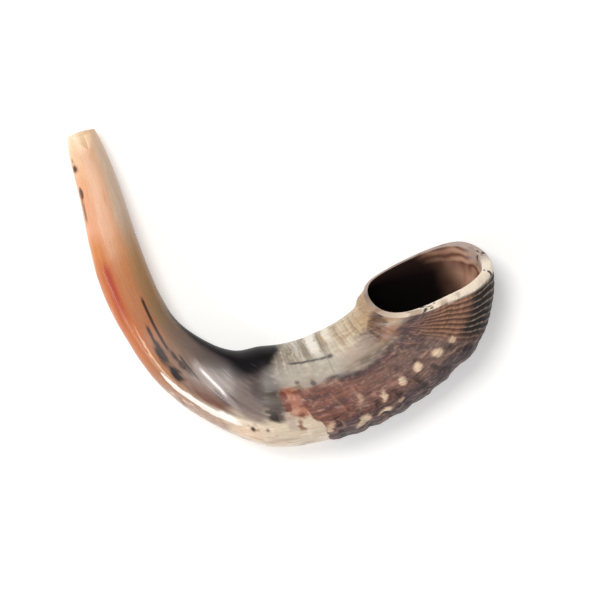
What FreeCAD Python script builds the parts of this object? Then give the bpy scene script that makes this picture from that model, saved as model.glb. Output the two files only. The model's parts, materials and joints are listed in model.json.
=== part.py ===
"""Shofar: a ram's horn blown as a trumpet, modelled lying on its side with the curve flat on the ground.

The real object is one horn. It is modelled as the parts that a maker tells apart in it, each a closed
solid that meets its neighbours face to face:
  mouthpiece        the sawn tip, with the lip and the reamed cup
  stem              the solid tip of the horn, straightened and drilled through
  horn_wall         the dense inner layer round the natural hollow, polished bare along the bend
  rough_rind        the ribbed outer layer of the horn, left on over the bell
  last_growth_band  the youngest stretch of that outer layer, next to the bell's edge
  bell_rim          the sawn and smoothed edge of the bell

Units are millimetres and degrees. +X runs from the mouth side to the bell side, +Y runs from the bend to
the two open ends, and +Z is up. The origin is under the middle of the horn, on the ground.
"""

import FreeCAD
import Part

import math
import os

# Overall sizes
LENGTH = 341.0  # along the middle line, from the mouth to the bell's edge
MOUTH_WIDTH, MOUTH_DEPTH = 17.4, 14.4  # width lies along the ground, depth is up and down
STEM_WIDTH, STEM_DEPTH = 30.8, 22.0  # at the thick end of the stem
BELL_WIDTH, BELL_DEPTH = 79.0, 49.0

# Parts along the horn, measured along the middle line
MOUTHPIECE_LENGTH = 22.0
STEM_LENGTH = 80.0  # from the mouthpiece to where the drill meets the natural hollow
RIND_LENGTH = 85.0  # ribbed part of the outer layer
LAST_GROWTH_LENGTH = 20.0
RIM_LENGTH = 6.0

# Bore, cup and edges
BORE_DIAMETER = 6.5
CUP_DIAMETER = 11.0
CUP_DEPTH = 8.0
BORE_RELIEF = 0.4  # the hollow starts this much wider than the bore, all round
LIP_ROUND = 0.9
RIM_ROUND = 1.6

# Walls at the bell's edge
WALL_OUTER = 6.5  # on the long outer side of the curve
WALL_INNER = 2.6
WALL_TOP = 3.8
WALL_UNDER = 2.8

# Outer layer
RIND_THICKNESS = 1.1
RIND_FEATHER = 30.0  # the polished wall sinks to the layer's underside over this length
RIB_PITCH = 11.5
RIB_HEIGHT = 1.0

# Shape of the horn, as (share of the length, value). Angles are in degrees, anticlockwise from +X.
DIRECTION = (
    (0, -72.6), (0.06, -71.3), (0.17, -75.7), (0.26, -69.6), (0.355, -58.4), (0.45, -39.4),
    (0.54, -20.2), (0.625, 1), (0.72, 19.5), (0.80, 30.5), (0.87, 43), (0.93, 63), (1, 94.5),
)  # the way that the middle line runs
RING_LEAD = ((0, 0), (0.36, 0), (0.52, 9), (0.60, 11), (1, 11))  # growth rings turn ahead of that line
CLIMB = ((0, 0), (0.70, 0), (0.80, 7), (0.872, 16), (0.931, 28), (1, 44))  # the bell turns up
LIFT = ((0, 0.4), (0.05, 0), (0.20, 3), (0.38, 2.4), (0.50, 0), (0.86, 0), (0.93, 2.6), (1, 9))  # mm
STEM_GROWTH = ((0, 0), (0.045, 0.37), (0.17, 0.77), (0.263, 1), (1, 1))  # share of mouth to stem
BELL_GROWTH = (
    (0, 0), (0.356, 0), (0.45, 0.14), (0.54, 0.33), (0.625, 0.65), (0.72, 0.72), (0.80, 0.755),
    (0.872, 0.80), (0.931, 0.98), (1, 1),
)  # share of stem to bell
HOLLOW_GROWTH = (
    (0, 0), (0.15, 0.12), (0.30, 0.29), (0.45, 0.51), (0.60, 0.68), (0.72, 0.77), (0.82, 0.83),
    (0.90, 0.92), (1.1, 1.08),
)
SQUARENESS = 0.025  # how far the section leans from an ellipse to a rounded box
EGG = ((0, 0), (0.2, 0), (0.6, 0.12), (0.8, 0.12), (1, -0.03))  # more depth on the outer side
SKEW = ((0, 0), (0.72, 0), (1, 0.34))  # more depth above on the inner side and below on the outer
KEEL = 0.045  # height of the two edges along the outer side, as a share of the section
KEEL_ANGLE, KEEL_SPREAD = 58.0, 15.0

PAST_FACE, PAST_EDGE = 1.5, 8.0  # how far the bore and the hollow's cutters run past the horn
SECTION_POINTS = 32
STATION_STEP = 10.0
LINE_STEPS = 1000


def law(pairs, x):
    """Value at x of a smooth curve through the pairs, which never swings past them (monotone cubic)."""
    xs = [p[0] for p in pairs]
    ys = [p[1] for p in pairs]
    slopes = [(ys[i + 1] - ys[i]) / (xs[i + 1] - xs[i]) for i in range(len(xs) - 1)]
    tangents = [slopes[0]]
    for before, after in zip(slopes, slopes[1:]):
        level = before * after <= 0
        tangents.append(0.0 if level else 2 * before * after / (before + after))
    tangents.append(slopes[-1])
    i = max(k for k in range(len(slopes)) if k == 0 or x >= xs[k])
    h = xs[i + 1] - xs[i]
    t = (x - xs[i]) / h
    rise = ys[i + 1] - ys[i]
    return ys[i] + t * h * tangents[i] + t * t * (
        3 * rise - h * (2 * tangents[i] + tangents[i + 1])
    ) + t * t * t * (h * (tangents[i] + tangents[i + 1]) - 2 * rise)


def middle_line():
    """Points of the middle line in plan, by adding up short steps along DIRECTION."""
    x = y = 0.0
    points = [(x, y)]
    step = LENGTH / LINE_STEPS
    for i in range(LINE_STEPS + LINE_STEPS // 20):
        angle = math.radians(law(DIRECTION, (i + 0.5) / LINE_STEPS))
        x += step * math.cos(angle)
        y += step * math.sin(angle)
        points.append((x, y))
    return points


LINE = middle_line()


def smooth_step(x):
    x = min(1.0, max(0.0, x))
    return x * x * (3 - 2 * x)


def half_sizes(along):
    """Half the width and half the depth of the horn's outline at a distance along the middle line."""
    share = along / LENGTH
    stem, bell = law(STEM_GROWTH, share), law(BELL_GROWTH, share)
    width = MOUTH_WIDTH + stem * (STEM_WIDTH - MOUTH_WIDTH) + bell * (BELL_WIDTH - STEM_WIDTH)
    depth = MOUTH_DEPTH + stem * (STEM_DEPTH - MOUTH_DEPTH) + bell * (BELL_DEPTH - STEM_DEPTH)
    return width / 2, depth / 2


class Station:
    """The plane of one growth ring: its centre, and unit vectors outward, up and along the horn."""

    def __init__(self, along):
        share = along / LENGTH
        at = share * LINE_STEPS
        i = min(int(at), len(LINE) - 2)
        f = at - i
        x, y = (LINE[i][k] * (1 - f) + LINE[i + 1][k] * f for k in range(2))
        heading = math.radians(law(DIRECTION, share) + law(RING_LEAD, share))
        climb = math.radians(law(CLIMB, share))
        flat = FreeCAD.Vector(math.cos(heading), math.sin(heading), 0)
        up = FreeCAD.Vector(0, 0, 1)
        self.outward = FreeCAD.Vector(math.sin(heading), -math.cos(heading), 0)
        self.along = flat * math.cos(climb) + up * math.sin(climb)
        self.up = up * math.cos(climb) - flat * math.sin(climb)
        height = half_sizes(along)[1] * math.cos(climb) + law(LIFT, share)
        self.centre = FreeCAD.Vector(x, y, height)

    def point(self, u, v):
        return self.centre + self.outward * u + self.up * v


def bump(angle, middle):
    away = (angle - middle + 180) % 360 - 180
    return math.exp(-((away / KEEL_SPREAD) ** 2))


def section_shape(angle, share):
    """Unit outline of the horn: an ellipse, squared a little, egg-shaped, with two keels outside."""
    a = math.radians(angle)
    u = (math.cos(a) - SQUARENESS * math.cos(3 * a)) / (1 - SQUARENESS)
    v = (math.sin(a) + SQUARENESS * math.sin(3 * a)) / (1 - SQUARENESS)
    v *= 1 + (law(EGG, share) - law(SKEW, share) * v) * u
    ripe = smooth_step((share - 0.2) / 0.4)
    keel = 1 + KEEL * ripe * (bump(angle, KEEL_ANGLE) + 0.6 * bump(angle, -KEEL_ANGLE))
    return u * keel, v * keel


def outline(along, offset=0.0, rib=0.0):
    """The horn's outline there, moved out by offset all round and by rib times each side's share of it."""
    station = Station(along)
    width, depth = half_sizes(along)
    share = along / LENGTH
    points = []
    for k in range(SECTION_POINTS):
        angle = 360 * k / SECTION_POINTS
        u, v = section_shape(angle, share)
        out = offset + rib * (0.35 + 0.65 * smooth_step(0.5 + math.cos(math.radians(angle))))
        a = math.radians(angle)
        points.append(station.point(u * width + out * math.cos(a), v * depth + out * math.sin(a)))
    return points


def mean_gap(ring, following):
    return sum(p.distanceToPoint(q) for p, q in zip(ring, following)) / len(ring)


def skin(rings):
    """Solid inside a smooth surface through the rings, closed by a flat face at each end.

    Every ring is interpolated over the same parameters, so their control points line up; a second set of
    curves runs lengthways through those, and their control points are the surface's.
    """
    around = [float(k) for k in range(SECTION_POINTS + 1)]
    lengthways = [0.0]
    for ring, following in zip(rings, rings[1:]):
        lengthways.append(lengthways[-1] + mean_gap(ring, following))
    hoops = [Part.BSplineCurve() for _ in rings]
    for hoop, ring in zip(hoops, rings):
        hoop.interpolate(Points=ring, Parameters=around, PeriodicFlag=True)
    strings = []
    for column in zip(*[hoop.getPoles() for hoop in hoops]):
        string = Part.BSplineCurve()
        string.interpolate(Points=list(column), Parameters=lengthways)
        strings.append(string)
    surface = Part.BSplineSurface()
    surface.buildFromPolesMultsKnots(
        [string.getPoles() for string in strings],
        hoops[0].getMultiplicities(), strings[0].getMultiplicities(),
        hoops[0].getKnots(), strings[0].getKnots(),
        True, False, 3, 3,
    )
    ends = [Part.Face(Part.Wire([hoop.toShape()])) for hoop in (hoops[0], hoops[-1])]
    shell = Part.Shell([surface.toShape(), *ends])
    shell.sewShape()
    solid = Part.Solid(shell)
    if solid.Volume < 0:
        solid.reverse()
    return solid


def stations(start, end, step=STATION_STEP):
    count = max(3, round((end - start) / step))
    return [start + (end - start) * i / count for i in range(count + 1)]


def edge_shrink(from_end, radius):
    """How far a rounded edge has drawn in at a distance from the end face (a quarter circle)."""
    if from_end >= radius:
        return 0.0
    return radius - math.sqrt(radius**2 - (radius - from_end) ** 2)


STEM_START = MOUTHPIECE_LENGTH
HOLLOW_START = STEM_START + STEM_LENGTH
RIM_START = LENGTH - RIM_LENGTH
GROWTH_START = RIM_START - LAST_GROWTH_LENGTH
RIND_START = GROWTH_START - RIND_LENGTH
ROUND_STEPS = (0, 0.12, 0.35, 0.65, 1)


def wall_offset(along):
    """The dense wall follows the outline until the bend, then sinks under the outer layer."""
    return -RIND_THICKNESS * smooth_step((along - RIND_START + RIND_FEATHER) / RIND_FEATHER)


def hollow_ring(along):
    """The natural hollow: round like the bore at its deep end, and inside the bell's walls at the edge."""
    start = BORE_DIAMETER / 2 + BORE_RELIEF
    width, depth = half_sizes(LENGTH)
    widest = width - (WALL_OUTER + WALL_INNER) / 2
    deepest = depth - (WALL_TOP + WALL_UNDER) / 2
    reach = (along - HOLLOW_START) / (LENGTH - HOLLOW_START)
    share = law(HOLLOW_GROWTH, reach)
    half_width = start + share * (widest - start)
    half_depth = start + share * (deepest - start)
    inward = -share * (WALL_OUTER - WALL_INNER) / 2
    downward = -share * (WALL_TOP - WALL_UNDER) / 2
    ripe = smooth_step(reach * 3)
    station = Station(along)
    points = []
    for k in range(SECTION_POINTS):
        angle = 360 * k / SECTION_POINTS
        round_u, round_v = math.cos(math.radians(angle)), math.sin(math.radians(angle))
        u, v = section_shape(angle, along / LENGTH)
        u, v = round_u + ripe * (u - round_u), round_v + ripe * (v - round_v)
        points.append(station.point(inward + half_width * u, downward + half_depth * v))
    return points


def bore_line():
    """Start, direction and length of the drilled bore, straight from the lip to the hollow."""
    start = Station(0).centre
    run = Station(HOLLOW_START).centre - start
    length = run.Length
    return start, run.normalize(), length


def bore():
    """The drilled bore, run past both ends so that it cuts clean through."""
    start, direction, length = bore_line()
    return Part.makeCylinder(
        BORE_DIAMETER / 2, length + 2 * PAST_FACE, start - direction * PAST_FACE, direction
    )


def cup():
    """The reamed cup: an arc turned about the bore's line, from the lip down to the bore."""
    start, direction, _ = bore_line()
    lip, throat = CUP_DIAMETER / 2, BORE_DIAMETER / 2
    wall = [(lip, 0), (throat + 0.62 * (lip - throat), 0.6 * CUP_DEPTH), (throat, CUP_DEPTH)]
    arc = Part.Arc(*[FreeCAD.Vector(r, 0, down) for r, down in wall]).toShape()
    rest = [wall[-1], (0, CUP_DEPTH), (0, -PAST_FACE), (lip, -PAST_FACE), wall[0]]
    corners = [FreeCAD.Vector(r, 0, down) for r, down in rest]
    lines = [Part.makeLine(a, b) for a, b in zip(corners, corners[1:])]
    profile = Part.Face(Part.Wire([arc, *lines]))
    turned = profile.revolve(FreeCAD.Vector(0, 0, 0), FreeCAD.Vector(0, 0, 1), 360)
    turned.Placement = FreeCAD.Placement(
        start, FreeCAD.Rotation(FreeCAD.Vector(0, 0, 1), direction)
    )
    return turned


def hollow():
    """The natural hollow, run past the bell's edge."""
    return skin([hollow_ring(s) for s in stations(HOLLOW_START, LENGTH + PAST_EDGE)])


def wall_outside():
    """Everything inside the dense wall's outer surface, from the end of the stem to the rim."""
    places = stations(HOLLOW_START, RIM_START)
    return skin([outline(s, wall_offset(s)) for s in places])


def mouthpiece():
    rounding = [LIP_ROUND * f for f in ROUND_STEPS]
    places = rounding + stations(LIP_ROUND, MOUTHPIECE_LENGTH, 5.0)[1:]
    body = skin([outline(s, -edge_shrink(s, LIP_ROUND)) for s in places])
    return body.cut(bore()).cut(cup())


def stem():
    body = skin([outline(s) for s in stations(STEM_START, HOLLOW_START)])
    return body.cut(bore())


def horn_wall():
    return wall_outside().cut(hollow())


def rough_rind():
    """The ribbed layer: each growth ring is a crest between two hollows, highest on the outer side."""
    count = 2 * round(RIND_LENGTH / RIB_PITCH)
    places = stations(RIND_START, GROWTH_START, RIND_LENGTH / count)
    ribs = [outline(s, 0, RIB_HEIGHT * (i % 2)) for i, s in enumerate(places)]
    return skin(ribs).cut(wall_outside())


def last_growth_band():
    body = skin([outline(s) for s in stations(GROWTH_START, RIM_START)])
    return body.cut(wall_outside())


def bell_rim():
    rounding = [LENGTH - RIM_ROUND * f for f in reversed(ROUND_STEPS)]
    places = stations(RIM_START, LENGTH - RIM_ROUND)[:-1] + rounding
    body = skin([outline(s, -edge_shrink(LENGTH - s, RIM_ROUND)) for s in places])
    return body.cut(hollow())


NODES = {
    "mouthpiece": mouthpiece,
    "stem": stem,
    "horn_wall": horn_wall,
    "rough_rind": rough_rind,
    "last_growth_band": last_growth_band,
    "bell_rim": bell_rim,
}


def main():
    os.makedirs("parts", exist_ok=True)
    made = {name: build() for name, build in NODES.items()}
    box = Part.Compound(list(made.values())).optimalBoundingBox()
    home = FreeCAD.Vector(-(box.XMin + box.XMax) / 2, -(box.YMin + box.YMax) / 2, -box.ZMin)
    for name, shape in made.items():
        shape.translate(home)
        shape.exportStep(f"parts/{name}.step")
        print(f"{name}: {len(shape.Solids)} solid, valid {shape.isValid()}, {shape.Volume:.0f} mm3")
    start, direction, length = bore_line()
    mouth, edge = Station(0), Station(LENGTH)
    print("origin moved by", home)
    print("bore from", start + home, "towards", direction, f"bore length {length:.2f}")
    print("mouth face", mouth.centre + home, "facing", mouth.along * -1)
    print("bell face", edge.centre + home, "facing", edge.along, "outward", edge.outward)
    print(f"overall {box.XLength:.1f} x {box.YLength:.1f} x {box.ZLength:.1f}")


main()
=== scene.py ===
"""The looks of a ram's horn shofar that lies on its side.

The horn is drawn ring by ring, as it grew. A point on it has a distance along the middle line, in
millimetres from the mouth, and an angle round the growth ring there: 0 on the long outer side of the curve,
90 on top, 180 on the inner side and 270 underneath. Shapes and colours are both worked out from those two.
"""
import json

import bpy
import numpy as np
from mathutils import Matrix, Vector


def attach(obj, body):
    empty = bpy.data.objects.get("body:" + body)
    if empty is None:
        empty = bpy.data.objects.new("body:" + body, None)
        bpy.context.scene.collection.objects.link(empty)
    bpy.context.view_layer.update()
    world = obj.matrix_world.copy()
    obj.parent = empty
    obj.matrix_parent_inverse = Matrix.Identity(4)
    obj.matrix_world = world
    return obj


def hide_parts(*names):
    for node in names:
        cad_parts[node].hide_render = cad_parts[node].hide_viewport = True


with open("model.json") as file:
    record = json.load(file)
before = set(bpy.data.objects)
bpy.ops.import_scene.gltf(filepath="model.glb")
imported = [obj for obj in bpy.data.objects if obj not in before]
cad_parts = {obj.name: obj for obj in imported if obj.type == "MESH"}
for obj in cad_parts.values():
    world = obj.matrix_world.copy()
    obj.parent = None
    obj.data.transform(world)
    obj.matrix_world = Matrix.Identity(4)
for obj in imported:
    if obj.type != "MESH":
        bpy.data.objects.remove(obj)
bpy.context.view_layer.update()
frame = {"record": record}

# ---- Mouthpiece -------------------------------------------------------------------------------------------
# The sawn tip of the horn, where the player's lips press. It is solid keratin, cut square, with its lip
# rounded over on a wheel, a shallow cup reamed into it and the bore drilled on from the cup's floor.

MM = 0.001
LENGTH = 341.0
MOUTH_WIDTH, MOUTH_DEPTH = 17.4, 14.4
STEM_WIDTH, STEM_DEPTH = 30.8, 22.0
BELL_WIDTH, BELL_DEPTH = 79.0, 49.0
MOUTHPIECE_LENGTH = 22.0
BORE_DIAMETER = 6.5
CUP_DIAMETER, CUP_DEPTH = 11.0, 8.0
LIP_ROUND = 0.9

# The course of the horn, as (share of the length, value), in degrees or in shares of a change of size.
DIRECTION = (
    (0, -72.6), (0.06, -71.3), (0.17, -75.7), (0.26, -69.6), (0.355, -58.4), (0.45, -39.4),
    (0.54, -20.2), (0.625, 1), (0.72, 19.5), (0.80, 30.5), (0.87, 43), (0.93, 63), (1, 94.5),
)
RING_LEAD = ((0, 0), (0.36, 0), (0.52, 9), (0.60, 11), (1, 11))
CLIMB = ((0, 0), (0.70, 0), (0.80, 7), (0.872, 16), (0.931, 28), (1, 44))
LIFT = ((0, 0.4), (0.05, 0), (0.20, 3), (0.38, 2.4), (0.50, 0), (0.86, 0), (0.93, 2.6), (1, 9))
STEM_GROWTH = ((0, 0), (0.045, 0.37), (0.17, 0.77), (0.263, 1), (1, 1))
BELL_GROWTH = (
    (0, 0), (0.356, 0), (0.45, 0.14), (0.54, 0.33), (0.625, 0.65), (0.72, 0.72), (0.80, 0.755),
    (0.872, 0.80), (0.931, 0.98), (1, 1),
)
SQUARENESS = 0.025
EGG = ((0, 0), (0.2, 0), (0.6, 0.12), (0.8, 0.12), (1, -0.03))
SKEW = ((0, 0), (0.72, 0), (1, 0.34))
KEEL, KEEL_ANGLE, KEEL_SPREAD = 0.045, 58.0, 15.0

POINTS_AROUND = 256
LINE_STEPS = 1000

mounts = {mount["name"]: mount for mount in frame["record"]["mounts"]}
bore = mounts["mouth_bore"]
bore_way = np.array(bore["axis"])
mouth = np.array(bore["pos_m"]) / MM + bore_way * (bore["dims"]["length_mm"] / 2 + CUP_DEPTH)


def law(pairs, x):
    """Smooth curve through the pairs that never swings past them: cubics between the pairs, whose slope at
    each pair is the harmonic mean of the straight slopes on its two sides, or level at a turning point."""
    xs, ys = np.array(pairs, float).T
    width = np.diff(xs)
    slope = np.diff(ys) / width
    before, after = slope[:-1], slope[1:]
    turns = before * after <= 0
    inner = np.where(turns, 0, 2 * before * after / np.where(turns, 1, before + after))
    tangent = np.concatenate([slope[:1], inner, slope[-1:]])
    i = np.clip(np.searchsorted(xs, x, side="right") - 1, 0, len(width) - 1)
    t = (x - xs[i]) / width[i]
    rise = ys[i + 1] - ys[i]
    bend = 3 * rise - width[i] * (2 * tangent[i] + tangent[i + 1])
    twist = width[i] * (tangent[i] + tangent[i + 1]) - 2 * rise
    return ys[i] + t * width[i] * tangent[i] + t**2 * bend + t**3 * twist


def ramp(x, low, high):
    """Rises smoothly from 0 where x is low to 1 where x is high."""
    t = np.clip((x - low) / (high - low), 0, 1)
    return t * t * (3 - 2 * t)


line_middles = (np.arange(int(LINE_STEPS * 1.05)) + 0.5) / LINE_STEPS
line_turns = np.exp(1j * np.radians(law(DIRECTION, line_middles)))
line_plan = np.concatenate([[0], np.cumsum(line_turns)]) * LENGTH / LINE_STEPS


def half_sizes(along):
    """Half the horn's width and depth, grown from mouth to stem and from stem to bell."""
    stem, bell = law(STEM_GROWTH, along / LENGTH), law(BELL_GROWTH, along / LENGTH)
    width = MOUTH_WIDTH + stem * (STEM_WIDTH - MOUTH_WIDTH) + bell * (BELL_WIDTH - STEM_WIDTH)
    depth = MOUTH_DEPTH + stem * (STEM_DEPTH - MOUTH_DEPTH) + bell * (BELL_DEPTH - STEM_DEPTH)
    return width / 2, depth / 2


def place(along, u, v):
    """Points u outward and v up in the growth ring at a distance along: centre + u outward + v up."""
    share = along / LENGTH
    steps = np.arange(len(line_plan))
    x = mouth[0] + np.interp(share * LINE_STEPS, steps, line_plan.real)
    y = mouth[1] + np.interp(share * LINE_STEPS, steps, line_plan.imag)
    heading = np.radians(law(DIRECTION, share) + law(RING_LEAD, share))
    climb = np.radians(law(CLIMB, share))
    ground = mouth[2] - MOUTH_DEPTH / 2 - LIFT[0][1]
    z = ground + half_sizes(along)[1] * np.cos(climb) + law(LIFT, share)
    tilt = v * np.sin(climb)
    return np.stack(
        [
            x + u * np.sin(heading) - tilt * np.cos(heading),
            y - u * np.cos(heading) - tilt * np.sin(heading),
            z + v * np.cos(climb),
        ],
        -1,
    )


def section(angle, share):
    """Unit growth ring: an ellipse, squared a little, egg-shaped and skewed, with two keels outside."""
    a = np.radians(angle)
    u = (np.cos(a) - SQUARENESS * np.cos(3 * a)) / (1 - SQUARENESS)
    v = (np.sin(a) + SQUARENESS * np.sin(3 * a)) / (1 - SQUARENESS)
    v = v * (1 + (law(EGG, share) - law(SKEW, share) * v) * u)
    upper, lower = (
        np.exp(-(((angle - keel + 180) % 360 - 180) / KEEL_SPREAD) ** 2)
        for keel in (KEEL_ANGLE, -KEEL_ANGLE)
    )
    stretch = 1 + KEEL * ramp(share, 0.2, 0.6) * (upper + 0.6 * lower)
    return u * stretch, v * stretch


def hashed(cell, seed):
    """A fixed value from 0 to 1 for each whole-number cell, by multiplying and folding its bits."""
    n = cell[0] * 374761393 + cell[1] * 668265263 + cell[2] * 1440662683 + seed * 1274126177
    n = ((n & 0xFFFFFFFF) ^ ((n & 0xFFFFFFFF) >> 13)) * 1274126177 & 0xFFFFFFFF
    return ((n ^ (n >> 16)) & 0xFFFF) / 65535


def noise(spot, size, seed):
    """Value noise from -1 to 1: random corner values, blended smoothly inside cells of that size in mm."""
    scaled = [axis / cell for axis, cell in zip(spot, size)]
    low = [np.floor(axis).astype(np.int64) for axis in scaled]
    part = [ramp(axis - cell, 0, 1) for axis, cell in zip(scaled, low)]
    total = 0
    for corner in np.ndindex(2, 2, 2):
        weight = 1
        for step, share in zip(corner, part):
            weight = weight * (share if step else 1 - share)
        total = total + weight * hashed([cell + step for cell, step in zip(low, corner)], seed)
    return 2 * total - 1


def unbent(along, angle):
    """Where a point would be if the horn were pulled straight, in mm: distance, outward, up."""
    width, depth = half_sizes(along)
    u, v = section(angle, along / LENGTH)
    return along, u * width, v * depth


def outside(along, angle, offset=0.0):
    """Points on the horn's outline, moved out by offset mm in the ring's plane."""
    width, depth = half_sizes(along)
    u, v = section(angle, along / LENGTH)
    a = np.radians(angle)
    return place(along, u * width + offset * np.cos(a), v * depth + offset * np.sin(a))


def hex_colour(text):
    """Linear RGB of an sRGB hex colour."""
    srgb = np.array([int(text[i : i + 2], 16) for i in (1, 3, 5)]) / 255
    return np.where(srgb <= 0.04045, srgb / 12.92, ((srgb + 0.055) / 1.055) ** 2.4)


def colour_run(stops, x):
    """Colours blended along x between (x, hex) stops."""
    places = [stop[0] for stop in stops]
    colours = np.array([hex_colour(stop[1]) for stop in stops])
    return np.stack([np.interp(x, places, colours[:, k]) for k in range(3)], -1)


def lay(paint, colour, mask):
    """Lays a hex colour over the paint, as thick as the mask, from 0 to 1."""
    return paint + (hex_colour(colour) - paint) * np.clip(mask, 0, 1)[..., None]


def folded(angle):
    """Angle from the outer side, 0 to 180, the same above and below."""
    return np.abs((angle + 180) % 360 - 180)


# The polished horn's colours run along it in three bands: the outer side, the top and the inner side.
OUTER_RUN = (
    (0, "#f4dfc2"), (10, "#eec8a4"), (28, "#e3a981"), (58, "#e0a280"), (70, "#cf8651"), (88, "#c4713f"),
    (125, "#c06d3f"), (148, "#a97450"), (172, "#a88b78"), (190, "#c9b49e"), (210, "#dccab2"),
    (341, "#d8c4a8"),
)
TOP_RUN = (
    (0, "#efd0a8"), (14, "#d9a47c"), (58, "#d4986f"), (90, "#be7a4c"), (125, "#ac6f4b"), (146, "#8b6750"),
    (165, "#857168"), (190, "#7a6c66"), (212, "#6c5b51"), (226, "#8f7d6c"), (262, "#9a8b7c"),
    (341, "#a98f74"),
)
INNER_RUN = (
    (0, "#ecc4a0"), (14, "#d8bca4"), (52, "#cdb29c"), (80, "#ae835b"), (108, "#9a744e"), (125, "#8c7054"),
    (150, "#74625a"), (168, "#5c504c"), (190, "#453d40"), (216, "#5c514d"), (230, "#948a82"),
    (262, "#c4b8a6"), (290, "#bda585"), (320, "#b69673"), (341, "#ae8a70"),
)
TOP_STARTS, INNER_STARTS = (58, 84), (96, 124)  # angles over which each run takes over from the last
RED_STREAK = ((60, 50), (95, 56), (118, 46), (150, 22), (341, 20))  # its middle, as (distance, angle)

# Where the black smear on the inner side of the bend begins, as (distance, angle).
SMEAR_EDGE = (
    (95, 172), (130, 158), (150, 144), (170, 139), (182, 131), (190, 121), (198, 112), (206, 111),
    (212, 117), (218, 130), (224, 144), (232, 160),
)


def smear(s, a):
    """Mask of the scorched black smear: inward of its edge, fading towards the stem and the bell."""
    edge = law(SMEAR_EDGE, s)
    return ramp(a, edge - 12, edge + 9) * ramp(s, 98, 140) * ramp(s, 238, 222)


def polished_tint(along, angle):
    """Colours of the bare horn: the three runs blended round it, a painted highlight on the outer side of
    the stem, then the broad stains, all with edges moved a few mm by noise."""
    spot = unbent(along, angle)
    s = along + 3.0 * noise(spot, (14, 9, 9), 1) + 1.0 * noise(spot, (5, 3, 3), 2)
    a = folded(angle) + 5.0 * noise(spot, (26, 8, 8), 3) + 2.0 * noise(spot, (9, 3, 3), 4)
    paint = colour_run(OUTER_RUN, s)
    paint += (colour_run(TOP_RUN, s) - paint) * ramp(a, *TOP_STARTS)[..., None]
    paint += (colour_run(INNER_RUN, s) - paint) * ramp(a, *INNER_STARTS)[..., None]
    # Painted highlight: a pale glint along the outer side of the stem.
    paint = lay(paint, "#f8e6cf", 0.65 * ramp(np.hypot((s - 72) / 15, a / 20), 1.2, 0.6))

    across = np.exp(-(((a - law(RED_STREAK, s)) / 11) ** 2))
    paint = lay(paint, "#a8371f", 0.94 * across * ramp(s, 76, 90) * ramp(s, 124, 104))
    paint = lay(paint, "#bd6c3c", 0.7 * across * ramp(s, 98, 118) * ramp(s, 158, 138))
    return lay(paint, "#0c090e", 0.97 * smear(s, a))


# The flat filed on the tip, as (angle, its reach from the mouth), its slope and how far it slopes.
TIP_FLAT = ((45, 0), (100, 12), (140, 0))
FLAT_SLOPE, FLAT_LENGTH = 0.09, 9


def polish_relief(along, angle):
    """Height in mm that hand polishing leaves: long soft swells, fine waves, and one flat on the tip that
    deepens towards the mouth."""
    spot = unbent(along, angle)
    waves = 0.16 * noise(spot, (20, 9, 9), 11) + 0.05 * noise(spot, (6, 4, 4), 12)
    reach = np.interp(angle % 360, *np.transpose(TIP_FLAT))
    return waves - FLAT_SLOPE * np.clip(reach - along, 0, FLAT_LENGTH)


def edge_shrink(from_end, radius):
    """How far a rounded edge has drawn in, that far from the end face: a quarter circle."""
    inside = np.clip(from_end, 0, radius)
    return radius - np.sqrt(radius**2 - (radius - inside) ** 2)


def sleeve(name, rows, tint, raw, dull, spots, flat_rows=()):
    """Closed mesh from rings of points: quads join each ring to the next and the last to the first, so the
    outer skin, the end faces and the bore are one surface. It keeps each point's colour, how raw it is,
    how dull it is, and its place on the unbent horn. Its UV map is the rings unrolled."""
    count, around = rows.shape[:2]
    ring, step = np.arange(count)[:, None], np.arange(around)
    corners = [(ring + 1, step), (ring + 1, step + 1), (ring, step + 1), (ring, step)]
    quads = np.stack([r % count * around + s % around for r, s in corners], -1).reshape(-1, 4)
    uv = np.stack([np.stack(np.broadcast_arrays(s / around, r / count), -1) for r, s in corners], -2)
    mesh = bpy.data.meshes.new(name)
    mesh.vertices.add(count * around)
    mesh.vertices.foreach_set("co", (rows * MM).astype(np.float32).ravel())
    mesh.loops.add(quads.size)
    mesh.loops.foreach_set("vertex_index", quads.astype(np.int32).ravel())
    mesh.polygons.add(len(quads))
    mesh.polygons.foreach_set("loop_start", np.arange(0, quads.size, 4, dtype=np.int32))
    mesh.polygons.foreach_set("loop_total", np.full(len(quads), 4, np.int32))
    smooth = np.ones((count, around), bool)
    smooth[list(flat_rows)] = False
    mesh.polygons.foreach_set("use_smooth", smooth.ravel())
    mesh.update(calc_edges=True)
    mesh.uv_layers.new(name="OFBake").data.foreach_set("uv", uv.astype(np.float32).ravel())
    rgba = np.concatenate([np.clip(tint, 0, 1), np.ones(tint.shape[:2] + (1,))], -1)
    stored = (
        ("tint", "FLOAT_COLOR", "color", rgba), ("raw", "FLOAT", "value", raw),
        ("dull", "FLOAT", "value", dull), ("unbent", "FLOAT_VECTOR", "vector", np.stack(spots, -1)),
    )
    for label, kind, field, values in stored:
        mesh.attributes.new(label, kind, "POINT").data.foreach_set(field, values.astype(np.float32).ravel())
    piece = bpy.data.objects.new(name, mesh)
    bpy.context.scene.collection.objects.link(piece)
    return piece


def fit(piece, node, material):
    """Gives a piece its material and puts it in the place of one of the part's nodes."""
    piece.data.materials.append(material)
    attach(piece, "root")
    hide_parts(node)


def node(material, kind, links=(), **settings):
    """Adds a shader node. Links are (input, node, output) and settings are inputs or properties by name."""
    made = material.node_tree.nodes.new(kind)
    for name, value in settings.items():
        if hasattr(made, name):
            setattr(made, name, value)
        else:
            made.inputs[name.replace("_", " ").title()].default_value = value
    for socket, source, output in links:
        material.node_tree.links.new(source.outputs[output], made.inputs[socket])
    return made


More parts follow.
